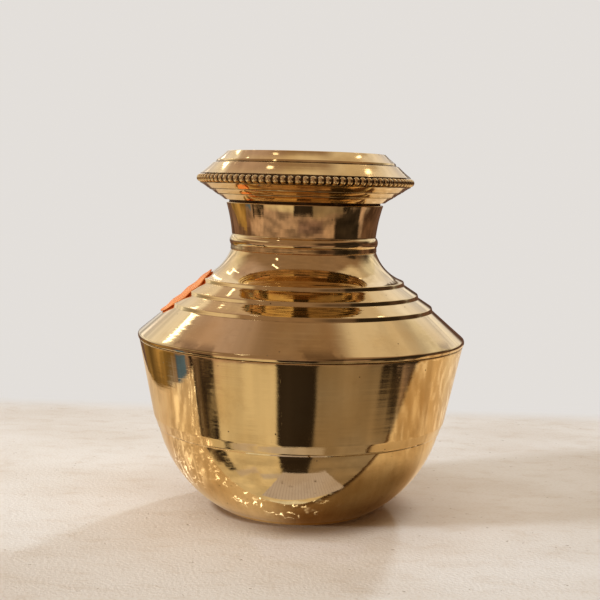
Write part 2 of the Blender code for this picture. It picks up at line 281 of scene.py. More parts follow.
def braze():
    made, n = new_material("braze_metal")
    flow = n.noise(n.place(), 420.0, 5.0)
    colour = n.mix(n.smooth(flow, 0.35, 0.7), BRAZE_PALE, BRAZE_DARK)
    n.surface(n.make("BsdfPrincipled", Base_Color=colour, Metallic=1.0,
                     Roughness=n.between(flow, 0.35, 0.6), Normal=n.bump(flow, 0.6, BRAZE_RELIEF)))
    return made


def paper():
    made, n = new_material("label_paper")
    place = n.place()
    fibre, fade = n.noise(place, 900.0, 4.0), n.noise(place, 120.0, 2.0)
    colour = n.mix(n.smooth(fade, 0.3, 0.7), ORANGE, ORANGE_DEEP)
    face = n.make("BsdfPrincipled", Base_Color=colour, Roughness=n.between(fibre, 0.45, 0.60),
                  Normal=n.bump(fibre, 0.12, PAPER_RELIEF))
    through = n.make("BsdfTranslucent", Color=colour)
    n.surface(n.add("MixShader", {0: SEE_THROUGH, 1: face, 2: through}).outputs[0])
    return made


BRAZE = braze()
PAPER = paper()
print("other finishes:", BRAZE.name, PAPER.name)

# %% [markdown]
# ## Outlines
# A spun piece is one outline turned about the pot's axis. An outline here is a list of corners (radius,
# height, rounding) in millimetres down the outside of the sheet. Corners could stay sharp, but real sheet has
# no knife edges, so each becomes a small arc. Long runs get points in between so that the shading stays true.
# The inner face is the outer one moved in by the sheet's thickness.

# %% Outline helpers
SHEET = 0.8
EDGE_ROUND = 0.3
RUN_STEP = 0.9
TURN_STEP = math.radians(9.0)
STRAIGHT = 0.01
LONGEST_CUT = 0.48


def bow(start, end, bulge, steps=28):
    """Corners after start up to end on a circular arc. A positive bulge lies to the left of the way there."""
    chord = math.dist(start[:2], end[:2])
    half = 2.0 * math.atan(2.0 * abs(bulge) / chord)
    radius = chord / (2.0 * math.sin(half))
    ur, uz = (end[0] - start[0]) / chord, (end[1] - start[1]) / chord
    corners = []
    for step in range(1, steps):
        turn = -half + 2.0 * half * step / steps
        run = chord / 2.0 + radius * math.sin(turn)
        rise = math.copysign(radius * (math.cos(turn) - math.cos(half)), bulge)
        corners.append((start[0] + ur * run - uz * rise, start[1] + uz * run + ur * rise, 0.0))
    return corners + [end]


def inner_face(outer):
    """The outer corners moved inwards by the sheet, with mitred corners."""
    ways = [Vector((b[0] - a[0], b[1] - a[1])).normalized() for a, b in zip(outer, outer[1:])]
    moved = []
    for index, (r, z, round_by) in enumerate(outer):
        before, after = ways[max(index - 1, 0)], ways[min(index, len(ways) - 1)]
        a, b = Vector((before.y, -before.x)), Vector((after.y, -after.x))
        shift = (a + b) * (SHEET / (1.0 + a.dot(b)))
        moved.append((r + shift.x, z + shift.y, round_by))
    return moved


def rounded(corners, closed):
    """Points with each corner turned into an arc of its own rounding."""
    count = len(corners)
    points = []
    for index, (r, z, round_by) in enumerate(corners):
        here = Vector((r, z))
        before = Vector(corners[index - 1][:2]) - here
        after = Vector(corners[(index + 1) % count][:2]) - here
        end_point = not closed and index in (0, count - 1)
        turn = 0.0 if end_point else math.pi - before.angle(after)
        if round_by == 0.0 or turn < STRAIGHT:
            points.append(here)
            continue
        cut = min(round_by * math.tan(turn / 2.0), LONGEST_CUT * before.length, LONGEST_CUT * after.length)
        radius = cut / math.tan(turn / 2.0)
        start, end = here + before.normalized() * cut, here + after.normalized() * cut
        side = before.normalized().cross(after.normalized())
        bulge = math.copysign(radius * (1.0 - math.cos(turn / 2.0)), side)
        steps = max(3, math.ceil(turn / TURN_STEP))
        arc = bow((*start, 0.0), (*end, 0.0), bulge, steps)
        points += [start] + [Vector(p[:2]) for p in arc]
    return points


def spaced(points, closed):
    """The same line with points put into runs that are longer than a step."""
    ring = points + points[:1] if closed else points
    dense = []
    for a, b in zip(ring, ring[1:]):
        parts = max(1, math.ceil((b - a).length / RUN_STEP))
        dense += [a.lerp(b, part / parts) for part in range(parts)]
    return dense if closed else dense + [points[-1]]


def edged(outer):
    """The same face with its two ends rounded, as a sheet's edges are."""
    return [outer[0][:2] + (EDGE_ROUND,), *outer[1:-1], outer[-1][:2] + (EDGE_ROUND,)]


print(f"sheet {SHEET} mm, edges rounded by {EDGE_ROUND} mm")

# %% [markdown]
# ## The lathe
# Turning is a rule, so Geometry Nodes do it: the outline becomes a curve, a circle carries it round the axis,
# and Curve to Mesh skins it. A Screw modifier could do the same. The node tree also adds what the lathe
# leaves: the sheet is never quite true, so a slow ripple of a few hundredths of a millimetre moves the
# surface, and every mirror image on it wavers as it does on the real pot.

# %% Geometry Nodes lathe
SEGMENTS = 224
GUIDE_RADIUS = 0.05
RIPPLE_SIZE = 0.03
WELD = 0.000002


def new_tree(name, **kinds):
    """The helper of a new tree with named inputs, what it is given, and the inputs' identifiers."""
    tree = bpy.data.node_groups.new(name, "GeometryNodeTree")
    for in_out in ("INPUT", "OUTPUT"):
        tree.interface.new_socket("Geometry", in_out=in_out, socket_type="NodeSocketGeometry")
    sockets = {}
    for label, kind in kinds.items():
        made = tree.interface.new_socket(label, in_out="INPUT", socket_type="NodeSocket" + kind)
        sockets[label] = made.identifier
    n = Nodes(tree)
    return n, n.add("NodeGroupInput").outputs, sockets


def dress(n, geometry, material):
    """The end of each tree: smooth shading, real geometry and its material."""
    smooth = n.shape("SetShadeSmooth", Geometry=geometry)
    real = n.shape("RealizeInstances", Geometry=smooth)
    dressed = n.shape("SetMaterial", Geometry=real, Material=material)
    n.add("NodeGroupOutput", {"Geometry": dressed})


def lathe_tree():
    n, given, sockets = new_tree("Lathe", Segments="Int", Ripple="Float", Seed="Float", Material="Material")
    curve = n.shape("MeshToCurve", Mesh=given["Geometry"])
    point = n.split(n.shape("InputPosition"))
    laid = n.vector(n.minus(point["X"], GUIDE_RADIUS), n.times(point["Z"], -1.0))
    profile = n.shape("SetPosition", Geometry=curve, Position=laid)
    circle = n.shape("CurvePrimitiveCircle", Resolution=given["Segments"], Radius=GUIDE_RADIUS)
    upright = n.shape("SetCurveNormal", {"mode": "Z_UP"}, Curve=circle)
    skin = n.shape("CurveToMesh", Curve=upright, Profile_Curve=profile)
    whole = n.shape("MergeByDistance", Geometry=skin, Distance=WELD)
    wave = n.make("TexNoise", {"noise_dimensions": "4D"}, Vector=n.shape("InputPosition"),
                  W=given["Seed"], Scale=1.0 / RIPPLE_SIZE, Detail=1.0)
    lift = n.times(n.minus(wave, 0.5), given["Ripple"])
    shift = n.make("VectorMath", {"operation": "SCALE"}, Vector=n.shape("InputNormal"), Scale=lift)
    dress(n, n.shape("SetPosition", Geometry=whole, Offset=shift), given["Material"])
    return n.tree, sockets


LATHE, LATHE_INPUTS = lathe_tree()


def plain_mesh(piece, tree, sockets, values):
    """Runs a node tree on a piece and keeps the result as its plain mesh."""
    modifier = piece.modifiers.new(tree.name, "NODES")
    modifier.node_group = tree
    for name, value in values.items():
        modifier[sockets[name]] = value
    evaluated = piece.evaluated_get(bpy.context.evaluated_depsgraph_get())
    made = bpy.data.meshes.new_from_object(evaluated)
    piece.modifiers.clear()
    piece.data = made
    made.name = piece.name


print("lathe inputs:", ", ".join(LATHE_INPUTS))

# %% [markdown]
# ## Turned pieces, and where grime and painted shade go
# A cloth slides over an outward corner and skips an inward one, so each piece names the places where grime
# stays and where shade is painted: "hollow" is high there and fades out within a millimetre. It could be
# worked out from the outline's corners alone, but the gap between two pieces, painted dark as shade, has no
# corner of its own.
# Each finished piece is then put on the body, and the CAD node that it replaces is hidden.

# %% Make a turned piece
# How far the grime and painted shade reach from a corner, in millimetres.
GRIME_AND_SHADE_REACH = 0.8


def stands_for(piece, node):
    """Puts a finished piece on the body and hides the CAD node that it replaces."""
    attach(piece, BODY)
    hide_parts(node)


def turned(name, node, outline, material, hollows=(), grime_and_shade=1.0, closed=True, ripple=0.0, seed=0.0):
    """A brass piece turned from its outline, with the attributes that its finish reads."""
    points = spaced(rounded(outline, closed), closed)
    count = len(points)
    edges = [(i, i + 1) for i in range(count - 1)] + ([(count - 1, 0)] if closed else [])
    mesh = bpy.data.meshes.new(name)
    mesh.from_pydata([(p.x * MM, 0.0, p.y * MM) for p in points], edges, [])
    along = mesh.attributes.new("along", "FLOAT", "POINT").data
    hollow = mesh.attributes.new("hollow", "FLOAT", "POINT").data
    run = 0.0
    for index, point in enumerate(points):
        run += (point - points[max(index - 1, 0)]).length
        along[index].value = run
        nearest = min([(point - Vector(place[:2])).length for place in hollows], default=GRIME_AND_SHADE_REACH)
        hollow[index].value = grime_and_shade * max(0.0, 1.0 - nearest / GRIME_AND_SHADE_REACH)
    piece = placed(name, mesh)
    values = {"Segments": SEGMENTS, "Ripple": ripple * MM, "Seed": seed, "Material": material}
    plain_mesh(piece, LATHE, LATHE_INPUTS, values)
    stands_for(piece, node)
    print(f"{name}: {count} outline points, {len(piece.data.polygons)} faces")


print(f"grime reaches {GRIME_AND_SHADE_REACH} mm from a corner")

# %% [markdown]
# ## Foot and bowl
# The pot stands on a low ring, and the spun bowl rises from it to the belly seam. The bowl could be a plain
# half sphere, but its side is an arc that leaves the seam almost upright, so that belly and bowl mirror the
# same things twice.

# %% Foot ring and bowl
FOOT_RADIUS, FOOT_WIDTH, FOOT_HEIGHT = 33.3, 3.0, 1.6
SEAT = 0.3
BOWL_FLAT_Z = FOOT_HEIGHT + SEAT
BOWL_FLAT_RADIUS = 36.3
BOWL_TOP, LAP_TOP = (61.72, 39.42, 0.0), (62.92, 45.30, 0.0)
BOWL_BULGE, BOWL_STEPS = 4.9, 48
BOWL_INNER_BEND, BOWL_OUTER_BEND = 1.5, 1.0

foot_inner = FOOT_RADIUS - FOOT_WIDTH
foot_outline = [(FOOT_RADIUS, BOWL_FLAT_Z, 0.2), (FOOT_RADIUS, 0.0, 0.5), (foot_inner, 0.0, 0.5),
                (foot_inner, BOWL_FLAT_Z, 0.2)]
# The corner where foot meets bowl is painted dark, as grime and as shade.
foot_grime_and_shade = [(FOOT_RADIUS, BOWL_FLAT_Z)]
turned("foot", "foot_ring", foot_outline, POT_BRASS, foot_grime_and_shade)

bowl_edge = (BOWL_FLAT_RADIUS, BOWL_FLAT_Z, 0.0)
bowl_outer = [LAP_TOP, BOWL_TOP, *bow(BOWL_TOP, bowl_edge, BOWL_BULGE, BOWL_STEPS)]
bowl_inner = inner_face(bowl_outer)
floor_z = BOWL_FLAT_Z + SHEET
bowl_outline = [(0.0, floor_z, 0.0), (bowl_inner[-1][0], floor_z, BOWL_INNER_BEND),
                *reversed(bowl_inner[:-1]), *bowl_outer[:-1],
                (BOWL_FLAT_RADIUS, BOWL_FLAT_Z, BOWL_OUTER_BEND), (0.0, BOWL_FLAT_Z, 0.0)]
turned("bowl", "base_bowl", bowl_outline, POT_BRASS, foot_grime_and_shade, closed=False, ripple=0.10, seed=1.0)

# %% [markdown]
# ## Belly
# A band that narrows towards the bowl. Its lower edge was hammered down over the bowl before brazing, which
# leaves a soft step, and its upper edge turns in under the shoulder. The step could be a hard line, but
# then the strip of table that it mirrors in the photograph would be missing.

# %% Belly wall
BELLY_TOP, BELLY_FOOT = (69.74, 73.2, 0.35), (63.02, 40.25, 0.9)
STEP_FOOT, BELLY_HEM, HEM_BEHIND = (61.42, 36.55, 0.9), (61.30, 35.75, 0.0), (61.60, 38.0, 0.0)
FLANGE_END, FLANGE_BEND = (63.67, 79.70, 0.0), (69.17, 75.04, 2.1)
BELLY_JOGGLE = (68.95, 73.5, 0.2)

belly_side = [FLANGE_END, FLANGE_BEND, BELLY_JOGGLE, BELLY_TOP, BELLY_FOOT]
belly_behind = inner_face(belly_side)
belly_outline = [*belly_side, STEP_FOOT, BELLY_HEM, HEM_BEHIND, *reversed(belly_behind)]
turned("belly", "belly_wall", belly_outline, POT_BRASS, ripple=0.12, seed=2.0)

# %% [markdown]
# ## Shoulder
# The widest piece: a short skirt over the belly, a bend, a straight cone, three stepped ridges and a hollow
# flare up to the neck. The ridges could be typed in one by one, but they are three copies of one step, so a
# loop lays them out.

# %% Shoulder
SKIRT_FOOT = (70.08, 73.55, 0.4)
EDGE_CORNER = (70.49, 75.37, 2.6)
RIDGE_COUNT, RIDGE_START = 3, (56.4, 87.32)
RIDGE_PITCH, RIDGE_STEP = 6.2, 5.30
RIDGE_INSET, RIDGE_RISE = 0.44, 1.65
CREST_ROUND, ROOT_ROUND = 0.50, 0.30
FLARE_TOP, FLARE_HOLLOW = (31.35, 111.55, 0.3), 2.0
COLLAR_TOP, COLLAR_FOOT = (30.10, 117.3, 0.0), (30.60, 112.0, 0.4)

ridge_corners = []
for ridge in reversed(range(RIDGE_COUNT)):
    foot_r = RIDGE_START[0] - ridge * RIDGE_PITCH
    foot_z = RIDGE_START[1] + ridge * RIDGE_STEP
    ridge_corners.append((foot_r - RIDGE_INSET, foot_z + RIDGE_RISE, CREST_ROUND))
    ridge_corners.append((foot_r, foot_z, ROOT_ROUND))
flare = bow(FLARE_TOP, ridge_corners[0], -FLARE_HOLLOW)
collar = [COLLAR_TOP, COLLAR_FOOT, FLARE_TOP]
shoulder_outer = edged([*collar, *flare, *ridge_corners[1:], EDGE_CORNER, SKIRT_FOOT])
shoulder_outline = [*shoulder_outer, *reversed(inner_face(shoulder_outer))]
# The ridges' roots are painted dark, partly as grime and partly as shade.
turned("shoulder_cone", "shoulder", shoulder_outline, SHOULDER_BRASS, ridge_corners[1::2],
       grime_and_shade=0.6, ripple=0.08, seed=3.0)

# %% [markdown]
# ## Neck
# A waisted sleeve that opens towards the mouth, with a half-round ring and a plain band at its foot. The ring
# could be a torus laid round a plain sleeve, but it is rolled from the same sheet, so the outline has it.

# %% Neck
NECK_TOP, NECK_WAIST = (33.7, 131.67, 0.0), (31.0, 118.05, 0.0)
NECK_RING_FOOT, NECK_FOOT = (31.40, 113.80, 0.25), (31.50, 111.75, 0.0)
NECK_HOLLOW, NECK_RING_PROUD, NECK_RING_STEPS = 0.35, 0.75, 14
NECK_BEHIND = (31.15, 117.0, 0.0)

neck_side = [NECK_TOP, *bow(NECK_TOP, NECK_WAIST, -NECK_HOLLOW)]
neck_ring = bow(NECK_WAIST, NECK_RING_FOOT, NECK_RING_PROUD, NECK_RING_STEPS)
neck_behind = inner_face([*neck_side[:-1], NECK_BEHIND, NECK_FOOT])
neck_outline = [*edged([*neck_side, *neck_ring, NECK_FOOT]), *reversed(neck_behind)]
# The corners above and below the neck ring are painted dark, partly as grime and partly as shade.
turned("neck_sleeve", "neck", neck_outline, POT_BRASS, [NECK_WAIST, NECK_RING_FOOT],
       grime_and_shade=0.5, ripple=0.07, seed=4.0)

# %% [markdown]
# ## Mouth
# Two cones meet at the beaded edge: a flare below, with fine turned lines, and a crown above, with one
# shallow groove and a rounded lip. The gap between flare and neck is painted dark as shade. The bands between
# the lines could be straight, but a turning tool leaves them slightly hollow, which bends what they mirror.

# %% Mouth flare and crown
MOUTH_EDGE, FLARE_EDGE_Z, CROWN_EDGE_Z = 45.2, 139.77, 143.67
MOUTH_FOOT = (34.4, 132.87, 0.35)
MOUTH_COLLAR = [(32.55, 132.87, 0.4), (31.55, 126.74, 0.0)]
# Points in the gap under the mouth, where shade is painted dark.
GAP_SHADE = [(33.4, 132.87), (32.50, 132.5), (32.38, 131.8)]
LINE_SHARES, LINE_DEPTH, LINE_WIDTH = (0.36, 0.66), 0.22, 0.75
LIP, LIP_WIDTH, LIP_INNER_ROUND = (33.9, 153.37, 0.55), 1.23, 0.4
GROOVE_FROM_LIP, GROOVE_WIDTH, GROOVE_DEPTH = 6.7, 2.0, 0.5
BAND_HOLLOW, BAND_STEPS, LONG_RUN = 0.12, 10, 2.5


def turned_line(start, end, share, width, depth):
    """Three corners of a shallow V line cut across the run from start to end."""
    a, b = Vector(start[:2]), Vector(end[:2])
    way = (b - a).normalized()
    middle = a.lerp(b, share)
    into = Vector((way.y, -way.x)) * depth
    half = way * width / 2.0
    return [(*(middle - half), 0.3), (*(middle + into), 0.2), (*(middle + half), 0.3)]


def hollow_bands(corners):
    """The same corners, with each long run between them bowed in."""
    made = [corners[0]]
    for start, end in zip(corners, corners[1:]):
        long_run = math.dist(start[:2], end[:2]) > LONG_RUN
        made += bow(start, end, -BAND_HOLLOW, BAND_STEPS) if long_run else [end]
    return made


flare_edge = (MOUTH_EDGE, FLARE_EDGE_Z, 0.25)
flare_lines = []
for share in LINE_SHARES:
    flare_lines += turned_line(flare_edge, MOUTH_FOOT, share, LINE_WIDTH, LINE_DEPTH)
flare_face = hollow_bands([flare_edge, *flare_lines, MOUTH_FOOT])
mouth_inner = inner_face([flare_edge, MOUTH_FOOT, *MOUTH_COLLAR])
mouth_outline = [*flare_face, *MOUTH_COLLAR, *reversed(mouth_inner)]
# The flare's lines and edge are painted dark as grime and shade, and the gap under it as shade.
mouth_grime_and_shade = [*flare_lines[1::3], flare_edge, *GAP_SHADE]
turned("mouth_cone", "mouth_flare", mouth_outline, MOUTH_BRASS, mouth_grime_and_shade, ripple=0.06, seed=5.0)

crown_edge = (MOUTH_EDGE, CROWN_EDGE_Z, 0.25)
crown_length = math.dist(LIP[:2], crown_edge[:2])
groove = turned_line(LIP, crown_edge, GROOVE_FROM_LIP / crown_length, GROOVE_WIDTH, GROOVE_DEPTH)
crown_inner = inner_face([LIP, crown_edge])
crown_outline = [*hollow_bands([LIP, *groove, crown_edge]), (crown_inner[1][0], CROWN_EDGE_Z, 0.2),
                 (LIP[0] - LIP_WIDTH, LIP[1], LIP_INNER_ROUND)]
# The crown's groove and edge are painted dark as grime and shade.
crown_grime_and_shade = [groove[1], crown_edge]
turned("crown_cone", "mouth_crown", crown_outline, MOUTH_BRASS, crown_grime_and_shade, ripple=0.06, seed=6.0)

# %% [markdown]
# ## Beads
# The edge of the mouth is a wire rolled into beads: upright ovals side by side, painted dark between them as
# grime and shade.
# An Array modifier could copy one bead ninety-six times, all alike. Instances on a circle of points can be a
# little uneven, as hand work is. A thin wire runs through them.

# %% Geometry Nodes beads
BEAD_COUNT = 96
BEAD_RING = 44.95
BEAD_HEIGHT_Z = 141.72
BEAD_SIZE = (1.65, 1.50, 1.68)
BEAD_WIRE = 1.15
BEAD_SEED = 7
LEAST_BEAD, MOST_BEAD = (0.93, 0.94, 0.96), (1.02, 1.05, 1.03)


def with_hollow(n, geometry, value):
    """The same geometry with its own value of hollow."""
    settings = {"data_type": "FLOAT", "domain": "POINT"}
    return n.shape("StoreNamedAttribute", settings, Geometry=geometry, Name="hollow", Value=value)


def bead_tree():
    n, given, sockets = new_tree("Beads", Count="Int", Ring="Float", Height="Float", Size="Vector",
                                 Wire="Float", Seed="Int", Material="Material")
    points = n.shape("MeshCircle", Vertices=given["Count"], Radius=given["Ring"])
    oval = n.shape("MeshUVSphere", Segments=16, Rings=10, Radius=1.0)
    side = n.split(n.shape("InputPosition"))["Y"]
    # The beads' flanks and the wire between them are painted dark, as grime and as shade.
    bead = with_hollow(n, oval, n.smooth(n.math("ABSOLUTE", side), 0.84, 1.05))
    whole_turn = n.times(n.shape("InputIndex"), 2.0 * math.pi)
    spin = n.vector(z=n.math("DIVIDE", whole_turn, given["Count"]))
    uneven = n.make("FunctionNodeRandomValue", {"data_type": "FLOAT_VECTOR"}, Min=LEAST_BEAD, Max=MOST_BEAD,
                    Seed=given["Seed"])
    size = n.add("VectorMath", {0: given["Size"], 1: uneven}, operation="MULTIPLY").outputs[0]
    copies = n.shape("InstanceOnPoints", Points=points, Instance=bead, Rotation=spin, Scale=size)
    ring = n.shape("CurvePrimitiveCircle", Resolution=2 * BEAD_COUNT, Radius=given["Ring"])
    round_wire = n.shape("CurvePrimitiveCircle", Resolution=12, Radius=given["Wire"])
    wire = n.shape("CurveToMesh", Curve=ring, Profile_Curve=round_wire)
    both = n.add("GeometryNodeJoinGeometry")
    for part in (copies, with_hollow(n, wire, 1.0)):
        n.tree.links.new(part, both.inputs[0])
    up = n.vector(z=given["Height"])
    dress(n, n.shape("Transform", Geometry=both.outputs[0], Translation=up), given["Material"])
    return n.tree, sockets


BEADS, BEADS_INPUTS = bead_tree()
beads = placed("beads", bpy.data.meshes.new("beads"))
bead_values = {"Count": BEAD_COUNT, "Ring": BEAD_RING * MM, "Height": BEAD_HEIGHT_Z * MM,
               "Size": [s * MM for s in BEAD_SIZE], "Wire": BEAD_WIRE * MM, "Seed": BEAD_SEED,
               "Material": MOUTH_BRASS}
plain_mesh(beads, BEADS, BEADS_INPUTS, bead_values)
stands_for(beads, "bead_wire")
print(f"beads: {len(beads.data.polygons)} faces")

# %% [markdown]
# ## Label
# A round paper label, 28 mm across, pressed over the ridges at the side. It touches the crests and sags a
# little between them. A flat disc could be dropped on the ridges as cloth, but the rule is simple: a wave
# with the ridges' own pitch, bent round the shoulder. A Solidify modifier gives the paper its thickness.

# %% Label
LABEL_RADIUS, LABEL_THICKNESS, LABEL_SAG = 14.0, 0.40, 0.38
LABEL_GAP, LABEL_DOWN = 0.10, 0.8
LABEL_TURN = math.radians(184.5)
LABEL_RINGS, LABEL_SPOKES = 14, 64

middle_crest = Vector((RIDGE_START[0] - RIDGE_PITCH - RIDGE_INSET, RIDGE_START[1] + RIDGE_STEP + RIDGE_RISE))
crest_to_crest = math.hypot(RIDGE_PITCH, RIDGE_STEP)
label_slope = Vector((RIDGE_PITCH, -RIDGE_STEP)).normalized()
label_out = Vector((-label_slope.y, label_slope.x))


def label_point(reach, spoke):
    """A place on the paper's back face, from its place on the flat disc."""
    turn = 2.0 * math.pi * spoke / LABEL_SPOKES
    around, down = reach * math.cos(turn), reach * math.sin(turn) + LABEL_DOWN
    lift = LABEL_GAP - LABEL_SAG * math.sin(math.pi * down / crest_to_crest) ** 2
    spot = middle_crest + label_slope * down + label_out * lift
    angle = LABEL_TURN + around / spot.x
    return (spot.x * math.cos(angle) * MM, spot.x * math.sin(angle) * MM, spot.y * MM)


label_points = [label_point(0.0, 0)]
label_faces = []
for ring in range(1, LABEL_RINGS + 1):
    label_points += [label_point(LABEL_RADIUS * ring / LABEL_RINGS, spoke) for spoke in range(LABEL_SPOKES)]
for spoke in range(LABEL_SPOKES):
    after = (spoke + 1) % LABEL_SPOKES
    label_faces.append((0, 1 + spoke, 1 + after))
    for ring in range(LABEL_RINGS - 1):
        low, high = 1 + ring * LABEL_SPOKES, 1 + (ring + 1) * LABEL_SPOKES
        label_faces.append((low + spoke, high + spoke, high + after, low + after))
label_mesh = bpy.data.meshes.new("label")
label_mesh.from_pydata(label_points, [], label_faces)
label_mesh.materials.append(PAPER)
label_mesh.shade_smooth()
label = placed("label", label_mesh)
thick = label.modifiers.new("Paper", "SOLIDIFY")
thick.thickness = LABEL_THICKNESS * MM
thick.offset = 1.0
stands_for(label, "shoulder_label")
print(f"label: {len(label_faces)} faces on one side")

# %% [markdown]
# ## Hidden braze
# The rings of braze metal keep their CAD shape, because they only show through the mouth or from below. They
# could be made again with rounded edges, but hardly anybody would see it. They get the dull braze finish.

# %% Braze rings
for node_name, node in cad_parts.items():
    if node_name.endswith("_braze"):
        node.data.materials.clear()
        node.data.materials.append(BRAZE)
        print("braze finish on", node_name)

# %% [markdown]
# ## Floor and backdrop
# A pale stone table and a pale wall behind it. The wall could be a sheet, but a sheet close behind the pot
# would stand in the way of views from the back. So the floor goes on, and beyond the table's far edge it
# takes the plain light colour of the wall. The stone itself is cloudy, finely grained and pitted. Near the
# pot a warm pool of light, such as brass throws, is painted into it, and a contact shadow is painted dark
# where the foot meets it, most of all on the side away from the key lamp.

# %% Floor
WALL = (0.770, 0.738, 0.705)
STONE, STONE_SHADE = (0.88, 0.865, 0.835), (0.74, 0.68, 0.605)
STONE_PIT, PIT_SHAKE = (0.34, 0.28, 0.22), 0.004
STONE_DRAWN, STONE_RELIEF = (1.0, 1.9, 1.0), 0.0004
# Painted light and shade on the stone: a warm pool of light near the pot and a dark contact shadow round the
# foot.
WARM_LIGHT_PAINT, WARM_LIGHT_SHARE = (0.78, 0.54, 0.36), 0.18
CONTACT_SHADOW_PAINT, CONTACT_SHADOW_SHARE = (0.30, 0.17, 0.065), 0.86
TABLE_BACK, WALL_FOOT = 0.183, 0.220
FLOOR_REACH = 6.0


def stone_colour(n, place):
    """Colour and height of the stone: clouds, streaks along the table, grains and small pits."""
    drawn = n.make("Mapping", Vector=place, Scale=STONE_DRAWN)
    cloud, grain = n.noise(drawn, 11.0, 5.0), n.noise(place, 700.0, 3.0)
    streak = n.noise(drawn, 60.0, 6.0, Roughness=0.6, Distortion=0.4)
    ragged = n.add("TexNoise", {"Vector": drawn, "Scale": 420.0, "Detail": 2.0}).outputs["Color"]
    shaken = n.add("VectorMath", {0: ragged, 1: (PIT_SHAKE,) * 3, 2: drawn},
                   operation="MULTIPLY_ADD").outputs[0]
    pit = n.spots(shaken, 170.0, skipped=0.76, core=0.06, rim=0.15)
    shade = n.plus(n.times(n.smooth(cloud, 0.36, 0.70), 0.55), n.times(n.smooth(streak, 0.48, 0.72), 0.45),
                   n.times(n.smooth(grain, 0.46, 0.72), 0.34))
    colour = n.mix(n.times(pit, 0.8), n.mix(shade, STONE, STONE_SHADE), STONE_PIT)
    return colour, n.minus(n.times(grain, 0.65), pit)


def stone_and_wall():
    made, n = new_material("pale_table")
    place = n.place()
    x, y = n.split(place)[:2]
    reach = n.length(place)
    colour, height = stone_colour(n, place)
    # A painted pool of warm light near the pot, like the light that brass throws.
    colour = n.mix(n.times(n.smooth(reach, 0.13, 0.04), WARM_LIGHT_SHARE), colour, WARM_LIGHT_PAINT)
    # A painted contact shadow round the foot, wider on the side away from the key lamp.
    shaded_side = n.times(n.smooth(reach, 0.056, 0.038), n.smooth(x, -0.036, 0.004))
    contact_shadow = n.most(shaded_side, n.smooth(reach, 0.0395, 0.0350))
    colour = n.mix(n.times(contact_shadow, CONTACT_SHADOW_SHARE), colour, CONTACT_SHADOW_PAINT)
    stone = n.make("BsdfPrincipled", Base_Color=colour, Roughness=0.7,
                   Normal=n.bump(height, 0.55, STONE_RELIEF))
    path = n.add("LightPath").outputs
    straight = n.most(path["Is Camera Ray"], path["Is Transmission Ray"])
    share = n.times(n.smooth(y, TABLE_BACK, WALL_FOOT), straight)
    n.surface(n.add("MixShader", {0: share, 1: stone, 2: n.glow(WALL)}).outputs[0])
    return made


def flat_sheet(name, corners, z, material):
    """A flat piece of the stage from the corners of its outline."""
    mesh = bpy.data.meshes.new(name)
    mesh.from_pydata([(x, y, z) for x, y in corners], [], [range(len(corners))])
    mesh.materials.append(material)
    made = placed(name, mesh)
    return made


floor_corners = [(x * FLOOR_REACH, y * FLOOR_REACH) for x, y in ((-1, -1), (1, -1), (1, 1), (-1, 1))]
floor = flat_sheet("floor", floor_corners, 0.0, stone_and_wall())
print(f"floor {2 * FLOOR_REACH:.0f} m across")

# %% [markdown]
# ## Table in the mirror
# The real pot stands near the front left corner of its table, so its belly mirrors the room beyond those
# edges, and only its sides and its lowest part mirror the table. The floor itself could end there, but then
# the pot would stand on a strange small table in every other view. So the camera sees one plain floor, and
# mirror rays see a table that ends in front of the pot, bowed to the left and with a rounded corner to the
# right. Painted into its stone are the warm light that brass throws back, a shaded band along its front edge
# and the pot's shadow beside the foot.

# %% Colour of the mirrored table
# Painted light and shade on the mirrored table: warm tints for light thrown by the brass, a shaded front edge
# and the pot's shadow by the foot.
NEAR_WARM_LIGHT, FAR_WARM_LIGHT = (1.0, 0.88, 0.72), (0.88, 0.70, 0.50)
LEFT_WARM_LIGHT, BACK_WARM_LIGHT = (1.0, 0.89, 0.79), (0.94, 0.83, 0.69)
FRONT_LINE, FRONT_BOW = -0.048, 0.55
CORNER_REACH, CORNER_SPAN = 0.022, 0.21
EDGE_SHADE, EDGE_WIDTH, EDGE_SPREAD = (0.15, 0.095, 0.055), 0.003, 0.025
FOOT_SHADE = 0.52


def front_widths(n, x, y):
    """How far inside the front edge a place is, counted in widths of the painted shaded edge."""
    leftward, rightward = n.math("MINIMUM", x, 0.0), n.most(x, 0.0)
    corner = n.math("SINE", n.times(rightward, math.pi / CORNER_SPAN))
    front = n.plus(n.times(leftward, leftward, -FRONT_BOW), n.times(corner, -CORNER_REACH))
    inside = n.minus(n.minus(y, FRONT_LINE), front)
    broad = n.plus(n.times(n.math("ABSOLUTE", x), EDGE_SPREAD), EDGE_WIDTH)
    return n.math("DIVIDE", inside, broad)


def table_fields(n):
    """What colour and light both need to know about a place on the mirrored table."""
    place = n.place()
    x, y = n.split(place)[:2]
    reach, turn = n.length(place), n.math("ARCTAN2", x, y)
    streak = n.noise(n.vector(n.times(turn, 14.0), n.times(reach, 9.0)), 1.0, 6.0, Roughness=0.7)
    return SimpleNamespace(place=place, x=x, y=y, reach=reach, turn=turn, streak=streak,
                           right=n.smooth(x, -0.02, 0.03), widths=front_widths(n, x, y))


